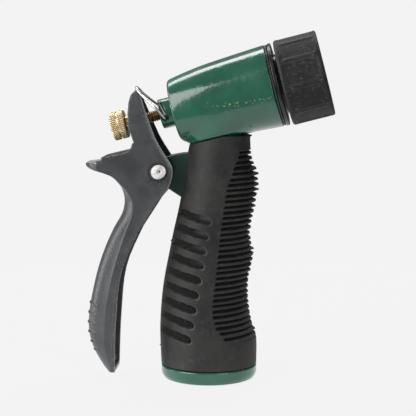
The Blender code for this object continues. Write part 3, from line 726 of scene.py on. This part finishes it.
def make_casting(material):
    low = (BARREL_POINT[0] - 55, -21.6, -0.9)
    high = (BARREL_POINT[0] + 8, 21.6, 143.5)
    points, faces, normals = skin(casting_field, low, high, 0.5)
    x, y, z = points.T
    s, _, u = on_barrel(points)
    band = bell(u + 4.6 + 0.11 * s, 1.5) * steps(s, -34, -25) * (y < 0)
    scuff = band + 0.25 * bell(u - 7.5, 2.5) * steps(s, -12, -22)
    on_lug = (x < -8) & (np.abs(y) < 8.2) & (z < 97.5) & (z > 60)
    outline = outline_distance(x, z, LUG_OUTLINE)
    lug_edge = bell(np.abs(y) - LUG_HALF_WIDTH + 0.15, 0.3) * bell(outline + 0.15, 0.3) * on_lug
    foot = 0.5 * bell(z - 0.25, 0.3)
    # Painted shade: the lug between the lever's walls and the clip hollows are darkened where shade falls.
    between = steps(x, -3.0, -5.0) * on_lug + (clip_scoop(points) < 0.15)
    marks = {"scuff": limited(scuff), "edge": limited(lug_edge * 0.5 + foot),
             "grime_and_painted_shade": 0.78 * limited(between)}
    finish_mesh("casting", points, faces, material, "body", ["nozzle_body"], marks, normals)


# ---- the rubber sleeve

def rib_groove(x, y, z):
    """How deep the ribbed panel's grooves are, 0 to 1, at points of the handle's front."""
    edge = straight(RIB_PANEL, z)
    last = RIB_FIRST_Z + (RIB_COUNT - 0.5) * RIB_PITCH
    wobble = 0.12 * np.sin(1.7 * z + 0.9 * np.sign(y)) + 0.08 * np.sin(0.53 * z)
    phase = (z - RIB_FIRST_Z - 0.05 * (x - edge)) / RIB_PITCH + wobble * 0.4
    away = np.abs(phase - np.round(phase + 0.5) + 0.5)
    narrow = 1 - steps(away, 0.10, 0.34)
    inside = steps(x - edge, 0.2, 1.6) * steps(z, RIB_FIRST_Z - 0.6, RIB_FIRST_Z + 0.6)
    return narrow * inside * steps(z, last + 0.4, last - 0.4)


def slot_depth(x, z, turn):
    """How deep the rear slots are, 0 to 1, and how near a place is to their rims."""
    bare = pi - SLOT_REAR_ANGLE
    spine = steps(np.abs(turn - pi), bare - 0.02, bare + 0.05)
    depth = np.zeros_like(x)
    rim = np.zeros_like(x)
    for i in range(SLOT_COUNT):
        share = i / (SLOT_COUNT - 1)
        tip_x = SLOT_LOWEST[0] + (SLOT_HIGHEST[0] - SLOT_LOWEST[0]) * share
        tip_z = SLOT_LOWEST[1] + (SLOT_HIGHEST[1] - SLOT_LOWEST[1]) * share
        back = tip_x - x
        across = z - tip_z - back * SLOT_SLOPE
        ragged = 0.22 * np.sin(1.9 * x + 0.7 * z + i) * np.sin(2.7 * x - 1.3 * z) * steps(back, 1.0, 3.0)
        away = hypot(minimum(back, 0), across) - SLOT_HEIGHT / 2 + ragged
        shallow = steps(share, 0.45, 0.9)
        fade = 1 - shallow * (1 - steps(back, -1.5, 7.5)) * steps(across, -1.6, 0.9)
        depth = maximum(depth, (1 - steps(away, -0.45, 0.1)) * fade)
        rim = maximum(rim, bell(away, 0.3) * steps(back, 1.2, -1.0) * (1 - shallow * 0.6))
    return depth * spine, rim * spine


def sleeve_top(x):
    """Height of the sleeve's top edge: along the barrel behind, level in front."""
    rise = TILT_SIN / TILT_COS
    rear_z = BARREL_POINT[1] + SLEEVE_TOP_U * TILT_COS
    rear_x = BARREL_POINT[0] - SLEEVE_TOP_U * TILT_SIN
    return minimum(rear_z + (x - rear_x) * rise, SLEEVE_TOP_Z)


def sleeve_places(share, angles, inset):
    """Handle-frame points of the sleeve's wall at a share of its height, drawn in by an inset."""
    height = SLEEVE_FOOT + share * (SLEEVE_TOP_Z - SLEEVE_FOOT)
    for _ in range(3):
        middle, reach, width = handle_oval(height)
        x = middle + (reach - inset) * np.cos(angles)
        height = SLEEVE_FOOT + share * (sleeve_top(x) - SLEEVE_FOOT)
    middle, reach, width = handle_oval(height)
    x = middle + (reach - inset) * np.cos(angles)
    y = (width - inset) * np.sin(angles)
    return np.stack([x, y, height], -1)


def sleeve_flash(turn, z, groove):
    """Thin flash left by the mould: on the rib tips, the top corner and two specks behind."""
    front = minimum(turn, 2 * pi - turn)
    number = np.round((z - RIB_FIRST_Z) / RIB_PITCH)
    uneven = np.abs(np.sin(number * 12.9898) * 43758.5453) % 1
    tips = 0.75 * uneven**3 * bell(front, 0.07) * (1 - steps(groove, 0.0, 0.3))
    tips = tips * steps(z, RIB_FIRST_Z - 2, RIB_FIRST_Z) * steps(z, 99, 97)
    corner = 0.9 * bell(front, 0.06) * steps(z, SLEEVE_TOP_Z - 1.2, SLEEVE_TOP_Z - 0.2)
    specks = 0.55 * bell(turn - pi, 0.03) * sum(bell(z - height, 0.3) for height in (59.0, 13.5))
    return tips + corner + specks


def make_sleeve(material):
    """Outer wall as a fine relief, then the top rim, the inner wall and the foot rim."""
    columns = 420
    angles = round_angles(columns)
    share, turn = np.meshgrid(np.linspace(0, 1, 640), angles, indexing="ij")
    points = sleeve_places(share, turn, 0)
    x, y, z = apart(points)
    groove = rib_groove(x, y, z)
    slot, rim = slot_depth(x, z, turn)
    edge_round = 0.4 * (1 - steps(share, 0, 0.005)) + 0.25 * steps(share, 0.996, 1.0)
    relief = RIB_DEPTH * groove + SLOT_DEPTH * slot + edge_round - 0.12 * rim
    relief -= sleeve_flash(turn, z, groove)
    _, reach, width = handle_oval(z)
    normal = np.stack([np.cos(turn) / reach, np.sin(turn) / width], -1)
    normal /= norm(normal, axis=-1, keepdims=True)
    points[..., :2] -= relief[..., None] * normal
    inner = sleeve_places(*np.meshgrid(np.linspace(1, 0, 60), angles, indexing="ij"), SLEEVE_WALL)
    # The groove and slot marks carry painted shade, the rim mark a painted highlight.
    marks = {"groove": steps(groove, 0.45, 1.0), "slot": slot, "rim": rim}
    marks = {name: np.pad(values, ((0, len(inner)), (0, 0))) for name, values in marks.items()}
    points = np.concatenate([points, inner])
    faces = grid_faces(len(points), columns, wrap_rows=True)
    points = points.reshape(-1, 3)
    finish_mesh("sleeve", points, faces, material, "body", ["grip_sleeve"], marks)


# ---- the lever

def lever_crown(points, inset):
    """The lever's sides and its crowned back, drawn in by an inset."""
    x, y, z = apart(points)
    back, crease = curve_through(LEVER_BACK, z)
    crease = crease + np.interp(z, (2.7, 30, 60, 76, 84), (0.3, 0.5, 0.9, 0.9, 0.0))
    width = straight(LEVER_WIDTH, z)
    width = width - minimum(inset, width * 0.55)
    upper = steps(z, LEDGE, LEDGE + 0.3)
    tall_back = np.interp(z, (98.6, 101.0, 104.0, 107.4, 113.0, 118.0, 121.0, LEVER_TIP),
                          (-45.0, -31.3, -32.4, -33.7, -34.1, -33.7, -32.8, -30.4))
    back = back * (1 - upper) + upper * tall_back
    crease = crease * (1 - upper) + upper * (tall_back + 0.9)
    depth = maximum(crease - back - inset * 0.6, 0.4)
    reach = (crease - x) / depth - 1 + (np.abs(y) / width) ** 2.3
    slope = hypot(1 / depth, 2.3 * (np.abs(y) / width) ** 1.3 / width)
    return reach / slope, np.abs(y) - width


def from_pip(x, y, z):
    """Distance to the middle of the little round pip on each side of the beak."""
    return hypot(hypot(x - BEAK_PIP[0], z - BEAK_PIP[1]), np.abs(y) - BEAK_PIP_Y)


def lever_field(points):
    """The lever's casting, open to the front, with its thumb ribs, slot and rivet hole."""
    x, y, z = apart(points)
    side = outline_distance(x, z, LEVER_OUTLINE)
    crown, flank = lever_crown(points, 0)
    outer = cut(cut(side, flank, 0.3), crown, 0.15)
    outer = weld(outer, from_pip(x, y, z) - 0.9, 0.2)
    for height in THUMB_RIBS:
        back = curve_through(LEVER_BACK, np.array([height]))[0][0]
        lean = np.interp(height, (11.5, 19.0, 32.0), (0.35, 0.1, -0.15))
        row = hypot(crown, z - height - lean * (x - back))
        ridge = hypot(row, maximum(np.abs(y) - 6.6, 0)) - 0.5
        outer = weld(outer, ridge, 0.3)
    inland = outline_distance(x, z, LEVER_FAR_BACK) + 1.3
    chamfer = 0.94 * (np.abs(y) - straight(LEVER_WIDTH, z) + 0.4 * inland)
    outer = maximum(outer, np.where(z > 79, chamfer, -9))
    inside_crown, inside_flank = lever_crown(points, LEVER_WALL)
    room = outline_distance(x, z, LEVER_OPEN) + LEVER_WALL
    cavity = cut(cut(room, inside_flank, 0.8), inside_crown, 0.8)
    lever = cut(outer, -cavity, 0.3)
    s, _, u = on_barrel(points)
    slot = hypot(y, u - np.clip(u, 0, LEVER_SLOT_RISE)) - LEVER_SLOT_RADIUS
    slot = maximum(slot, s + 55.5)
    hole = hypot(x - PIVOT[0], z - PIVOT[1]) - 1.75
    return cut(lever, -minimum(slot, hole), 0.25)


def make_lever(material):
    points, faces, normals = skin(lever_field, (-54.4, -11.2, 1.6), (-13.6, 11.2, 125.0), 0.4)
    x, y, z = points.T
    side = outline_distance(x, z, LEVER_OUTLINE)
    flank = lever_crown(points, 0)[1]
    edge = 0.7 * bell(hypot(side + 0.1, flank + 0.1), 0.245)
    front = outline_distance(x, z, LEVER_FAR_BACK)
    rim = 0.3 * bell(front + 1.3, 0.14) * (flank > -0.4)
    # Painted highlight on the beak's pips, its upward-facing top and the upper front edge.
    pip = 0.28 * bell((from_pip(x, y, z) / 1.1) ** 2, 1)
    painted_highlight = (normals[:, 2] > 0.8) & (x < -46.2) & (z > 91)
    around = hypot(x - PIVOT[0], z - PIVOT[1])
    on_face = np.abs(y) > 9
    chips = np.sin(4.1 * x + 1.3 * z) * np.sin(3.7 * z - 1.1 * x) > 0.2
    # Painted shade on the ledge's top; the rivet ring and the chips below it are grime.
    ledge = (normals[:, 2] > 0.7) & (x > -45.6) & (z > 94) & (z < 98.5) & (flank < -0.5)
    chipped = chips * bell(around - 5.0, 1.1) * (z < PIVOT[1] - 1.5)
    grime_and_painted_shade = (bell(around - 3.6, 0.5) + chipped) * on_face + 0.6 * ledge
    lip = 0.5 * bell(front + 0.1, 0.3) * (flank > -1.2) * steps(z, 74, 86)
    marks = {"wear": limited(edge + rim), "grime_and_painted_shade": 0.8 * limited(grime_and_painted_shade),
             "painted_highlight": limited(pip + 0.75 * painted_highlight + lip)}
    finish_mesh("lever", points, faces, material, "lever", ["trigger"], marks, normals)


# ---- collar, head and small parts

def from_flat(angle):
    """Angle from the middle of the nearest flat."""
    step = 2 * pi / LAND_COUNT
    return (angle - FIRST_LAND) % step - step / 2


def collar_cuts(s, radius, angle):
    """How far the flats between the lands draw the outside in."""
    local = from_flat(angle)
    flat = FLAT_RADIUS / np.cos(local)
    width = 1 - steps(np.abs(local), radians(12.0), radians(15.2))
    length = steps(s, 5.2, 7.4) * steps(s, 21.6, 20.0)
    return np.where(radius > INSIDE_FLATS, 0.65 * minimum(flat - radius, 0) * width * length, 0)


def make_collar(material):
    """The fluted outside, the mouth with its washer step, and the plain bore."""
    corners = [
        (COLLAR_REAR, 14.3), (COLLAR_REAR, COLLAR_RADIUS, 1.3), (COLLAR_FRONT, COLLAR_RADIUS, 1.3),
        (COLLAR_FRONT, 15.6), (17.0, 15.0), (16.3, COLLAR_BORE), (COLLAR_REAR + 0.7, COLLAR_BORE, 0.2),
    ]
    profile = finely(rounded(corners, 0.3, 5), 0.3)
    count = 420
    points, faces = turned(profile, count, collar_cuts)
    s, radius, angle = turning(profile, count)
    local = np.abs(from_flat(angle))
    outside = radius > INSIDE_FLATS
    # Painted highlight along the land edges; dust on the rear rim.
    edge = 0.42 * bell(local - radians(15.4), radians(1.2)) * (s > 6) * (s < 21)
    rims = bell(s - COLLAR_REAR, 0.9)
    ends = bell(s - 7.2, 1.6) + bell(s - 19.6, 1.2)
    dust = 0.25 + 0.75 * ends * steps(local, radians(6), radians(14))
    marks = {"edge": limited(edge + rims) * outside, "dust": limited(dust) * outside}
    replaced = ["front_collar"]
    finish_mesh("collar", points, faces, material, "collar", replaced, marks)


def neck_thread(s, radius, angle):
    """The hose thread on the neck, fading out at both ends."""
    wave = thread_wave(s, angle, HOSE_THREAD_PITCH)
    reach = steps(s, 4.6, 5.6) * steps(s, 15.2, 14.0)
    return np.where((radius > 12.9) & (radius < 14), -0.55 * steps(wave, 0.25, 0.85) * reach, 0)


def make_head(material):
    """The sleeve in the casting, the glossy ring, the groove, the threaded neck and the orifice."""
    corners = [
        (-5.0, 7.8), (-5.0, 10.1), (1.3, 10.1, 0.1), (1.3, 17.6, 0.35), (2.8, 17.6, 0.35),
        (2.8, 12.6, 0.2), (3.9, 12.6, 0.2), (4.3, 13.3, 0.2), (15.5, 13.3, 0.5), (15.5, 8.8, 0.5),
        (12.2, 4.2, 0.4), (11.6, 4.2, 0.1), (11.6, 7.2, 0.1), (8.6, 7.2, 0.1), (8.6, 7.8, 0.1),
    ]
    profile = finely(rounded(corners, 0.3, 4), 0.28)
    points, faces = turned(profile, 240, neck_thread)
    finish_mesh("head", points, faces, material, "body", ["spray_head"])


def nut_teeth(_, radius, angle):
    """Straight knurling on the nut's two bands."""
    wave = np.abs((angle * KNURL_COUNT / (2 * pi)) % 1 - 0.5) * 2
    on_band = steps(radius, NUT_RADIUS - 0.7, NUT_RADIUS - 0.25)
    return -KNURL_DEPTH * steps(wave, 0.25, 1.0) * on_band


def make_nut(material):
    """Two knurled bands with a plain groove between them."""
    rear = NUT_FRONT - NUT_LENGTH
    band, end, groove = (NUT_RADIUS, 0.15), (5.75, 0.1), (5.3, 0.1)
    corners = [
        (rear, 2.5, 0.2), (rear, *end), (rear + 0.35, *band), (rear + 2.7, *band), (rear + 2.85, *groove),
        (rear + 3.4, *groove), (rear + 3.55, *band), (NUT_FRONT - 0.35, *band), (NUT_FRONT, *end),
        (NUT_FRONT, 2.5, 0.2),
    ]
    profile = finely(rounded(corners, 0.3, 4), 0.2)
    count = KNURL_COUNT * 12
    points, faces = turned(profile, count, nut_teeth)
    marks = {"hollow": -0.8 / KNURL_DEPTH * nut_teeth(*turning(profile, count))}
    finish_mesh("nut", points, faces, material, "nut", ["adjusting_nut"], marks)


def stem_thread(s, radius, angle):
    """The fine thread behind the boss. It leaves out the profile's line along the axis."""
    wave = thread_wave(s, angle, STEM_THREAD_PITCH)
    depth = STEM_THREAD_DEPTH * steps(wave, 0.1, 0.9) * steps(s, -46.0, -50.0)
    return np.where(radius > 1.9, -depth, 0)


def make_stem(material):
    """The thread behind the boss, then the plain shank through the barrel."""
    rear, front = NUT_FRONT - NUT_LENGTH - 0.1, 8.9
    fine = np.arange(rear + 0.4, -45.0, 0.1)
    raised = steps(fine, -50.0, -50.4) * steps(fine, NUT_FRONT, NUT_FRONT + 0.3)
    thick = STEM_RADIUS + STEM_THREAD_DEPTH * raised
    profile = [(rear, 0.02), (rear, STEM_RADIUS - 0.4), *zip(fine, thick),
               (-44.0, STEM_RADIUS), (front - 0.3, STEM_RADIUS), (front, STEM_RADIUS - 0.3), (front, 0.02)]
    points, faces = turned(profile, 48, stem_thread)
    finish_mesh("stem", points, faces, material, "stem", ["valve_stem"])


def make_rivet(material):
    """The semi-tubular rivet: a flat head with a rolled ring round its dimple."""
    near = [
        (-10.9, 0.02), (-10.9, 0.75), (-11.4, 1.2), (-11.5, 1.5), (-11.2, 1.8), (-11.35, 2.2),
        (-11.15, 2.7), (-10.75, 3.02), (-10.3, 3.0), (-10.3, 1.6),
    ]
    far = [(10.3, 1.6), (10.3, 3.1), (10.7, 3.0), (11.1, 2.55), (11.4, 1.6), (11.5, 0.02)]
    y, radius, angle = turning([*near, *far], 64)
    # Painted shade in the dimple and round the ring.
    hollow = 0.9 * bell(radius - 0.95, 0.3) + 0.4 * bell(radius - 1.8, 0.2)
    seated = y < -10.5
    radius = radius * (1 + 0.012 * np.sin(3 * angle) * (radius > 1))
    x = PIVOT[0] + 1.0 * seated + radius * np.cos(angle)
    z = PIVOT[1] + 0.6 * seated + radius * np.sin(angle)
    points = np.stack([x, y, z], -1).reshape(-1, 3)
    faces = grid_faces(*y.shape, wrap_rows=True)
    marks = {"hollow": hollow}
    item = finish_mesh("rivet", points, faces, material, "body", ["pivot_rivet"], marks)
    modifier = item.modifiers.new("smooth", "SUBSURF")
    modifier.levels = 1
    modifier.render_levels = 1


def bend_through(path, count):
    """Evenly spread points on a smooth curve through a path."""
    path = np.array(path, float)
    lengths = np.concatenate([[0], np.cumsum(norm(np.diff(path, axis=0), axis=1))])
    columns = curve_through(np.column_stack([lengths, path]), np.linspace(0, lengths[-1], count))
    return np.stack(columns, -1)


def wire(path, radius, sides):
    """Points and faces of a round wire with flat ends."""
    ahead = np.gradient(path, axis=0)
    ahead /= norm(ahead, axis=1, keepdims=True)
    normal = np.cross(ahead[0], (0.3, 0.2, 0.9))
    rings = []
    angles = round_angles(sides)
    for place, tangent in zip(path, ahead):
        normal = normal - tangent * (normal @ tangent)
        normal /= norm(normal)
        out = np.outer(np.cos(angles), normal) + np.outer(np.sin(angles), np.cross(tangent, normal))
        rings.append(place + radius * out)
    strip = np.arange(sides // 2 - 1)
    lid = np.stack([strip, strip + 1, sides - 2 - strip, sides - 1 - strip], -1)
    faces = [lid[:, ::-1], grid_faces(len(rings), sides), lid + sides * (len(rings) - 1)]
    return np.concatenate(rings), np.concatenate(faces)


def make_clip(material):
    """The wire bail, from its leg in the boss to the bend over the lever's tip, and back."""
    x, z = CLIP_PIVOT
    half = [
        (x, -4.4, z), (x, -6.4, z), (x - 0.35, -7.1, z + 0.4), (-21.2, -7.5, 115.5), (-24.8, -5.7, 118.5),
        (-27.9, -4.0, 121.2), (-29.3, -3.2, 122.8), (-30.2, -1.8, 123.8), (-30.4, 0, 124.1),
    ]
    path = [*half, *((along, -aside, up) for along, aside, up in reversed(half[:-1]))]
    points, faces = wire(bend_through(path, 150), 0.55, 16)
    finish_mesh("clip", points, faces, material, "clip", ["hold_open_clip"])


def make_spring(material):
    """The long spring round the stem, with closed end coils."""
    rear, front = SPRING_REAR + SPRING_WIRE_RADIUS, SPRING_FRONT - SPRING_WIRE_RADIUS
    turn = np.linspace(0, SPRING_TURNS, SPRING_TURNS * 36 + 1)
    end = 2.2 * SPRING_WIRE_RADIUS
    s = np.interp(turn, (0, 1, SPRING_TURNS - 1, SPRING_TURNS), (rear, rear + end, front - end, front))
    s = np.convolve(np.pad(s, 9, "edge"), np.ones(19) / 19, "valid")
    path = from_barrel(s, SPRING_RADIUS * np.sin(2 * pi * turn), SPRING_RADIUS * np.cos(2 * pi * turn))
    points, faces = wire(path, SPRING_WIRE_RADIUS, 12)
    spring = finish_mesh("spring", points, faces, material, "body", ["return_spring"])
    anchor = (from_barrel(SPRING_REAR, 0, 0) + np.array(DATUM)) * MM
    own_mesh(spring)


# ---- finishes of the CAD nodes that stay

def repaint(material, *nodes):
    for name in nodes:
        node = frame["nodes"][name]
        node.data.materials.clear()
        node.data.materials.append(material)


# ---- stage, light and camera

def make_stage():
    """A pale round table top that reaches a little way in front of the object."""
    table = bmesh.new()
    bmesh.ops.create_circle(table, cap_ends=True, segments=96, radius=0.24)
    mesh = bpy.data.meshes.new("floor")
    table.to_mesh(mesh)
    table.free()
    item = bpy.data.objects.new("floor", mesh)
    item.location = (DATUM.x * MM, 0.08, -0.0001)
    bpy.context.scene.collection.objects.link(item)
    paint = Paint("floor_white", Roughness=1.0, Specular_IOR_Level=0.0, Emission_Strength=1.0)
    paint.shader.inputs["Base Color"].default_value = (0.03, 0.03, 0.031, 1)
    paint.shader.inputs["Emission Color"].default_value = (0.868, 0.868, 0.869, 1)
    mesh.materials.append(paint.material)


def make_world():
    """A pale backdrop to the eye and a dim room for reflections and light."""
    world = bpy.data.worlds.new("studio")
    bpy.context.scene.world = world
    world.use_nodes = True
    tree = world.node_tree
    tree.nodes.clear()
    kinds = ("OutputWorld", "Background", "Background", "LightPath", "MixShader")
    out, room, backdrop, path, mix = (tree.nodes.new(f"ShaderNode{kind}") for kind in kinds)
    backdrop.inputs["Color"].default_value = (0.896, 0.896, 0.896, 1)
    room.inputs["Color"].default_value = (0.8, 0.82, 0.85, 1)
    room.inputs["Strength"].default_value = 0.22
    tree.links.new(path.outputs["Is Camera Ray"], mix.inputs[0])
    tree.links.new(room.outputs[0], mix.inputs[1])
    tree.links.new(backdrop.outputs[0], mix.inputs[2])
    tree.links.new(mix.outputs[0], out.inputs[0])


def towards(azimuth, elevation):
    """The direction of a place seen at those degrees; azimuth 0 is in front of the object."""
    turn, rise = radians(azimuth), radians(elevation)
    return Vector((sin(turn) * cos(rise), -cos(turn) * cos(rise), sin(rise)))


def aim(name, data, target, direction, distance):
    """A light or a camera that stands off a target and faces it."""
    item = bpy.data.objects.new(name, data)
    item.location = target + direction * distance
    item.rotation_euler = (-direction).to_track_quat("-Z", "Y").to_euler()
    bpy.context.scene.collection.objects.link(item)
    return item


def area_light(name, azimuth, elevation, distance, width, height, power):
    """A soft box that faces the object's middle: degrees, metres and watts."""
    data = bpy.data.lights.new(name, "AREA")
    data.shape = "RECTANGLE"
    data.size = width
    data.size_y = height
    data.energy = power
    aim(name, data, Vector((0, 0, 0.09)), towards(azimuth, elevation), distance)


def make_lights():
    area_light("overhead", 0, 121, 0.8, 1.3, 0.24, 5.5)
    area_light("left_front", -52, 20, 1.0, 0.64, 0.95, 9.4)
    area_light("left_side", -100, 4, 0.9, 0.2, 0.8, 2.4)
    area_light("right_front", 40, 20, 1.1, 0.5, 0.7, 3.0)


def make_camera():
    """A near camera, a little to the left and above, whose view is VIEW_WIDTH across at the target."""
    data = bpy.data.cameras.new("camera")
    data.sensor_width = 36
    data.lens = data.sensor_width * CAMERA_DISTANCE / VIEW_WIDTH
    data.clip_start = 0.05
    target = Vector(((DATUM.x - 0.1) * MM, 0, 0.073))
    bpy.context.scene.camera = aim("camera", data, target, towards(4.5, 7.2), CAMERA_DISTANCE)


def main():
    make_camera()
    make_casting(enamel_paint())
    make_sleeve(rubber_paint())
    make_lever(lever_paint())
    make_collar(collar_paint())
    make_head(head_paint())
    make_nut(brass_paint("nut_brass", (0.95, 0.79, 0.52), (0.42, 0.29, 0.15), 0.34, 0.0))
    make_stem(brass_paint("stem_brass", (0.30, 0.21, 0.10), (0.03, 0.018, 0.01), 0.4, 0.14))
    make_rivet(steel_paint("rivet_steel", (0.90, 0.89, 0.87), 0.35, 0.03, 0.1))
    make_clip(steel_paint("clip_steel", (0.80, 0.78, 0.76), 0.24, 0.02))
    steel = steel_paint("inner_steel", (0.66, 0.66, 0.66), 0.28, 0.12)
    make_spring(steel)
    repaint(steel, "packing_washer")
    brass = brass_paint("inner_brass", (0.72, 0.54, 0.30), (0.25, 0.16, 0.07), 0.3, 0.0)
    repaint(brass, "orifice_seat", "spray_pintle", "washer_retainer", "stem_bush", "thrust_collar")
    seal = seal_paint("seal_black", (0.02, 0.02, 0.02), 0.5)
    repaint(seal, "head_gasket", "valve_washer", "packing_seal")
    repaint(seal_paint("washer_black", (0.028, 0.028, 0.028), 0.6), "hose_washer")
    make_stage()
    make_world()
    make_lights()
    bpy.context.scene.view_settings.view_transform = "Standard"


main()
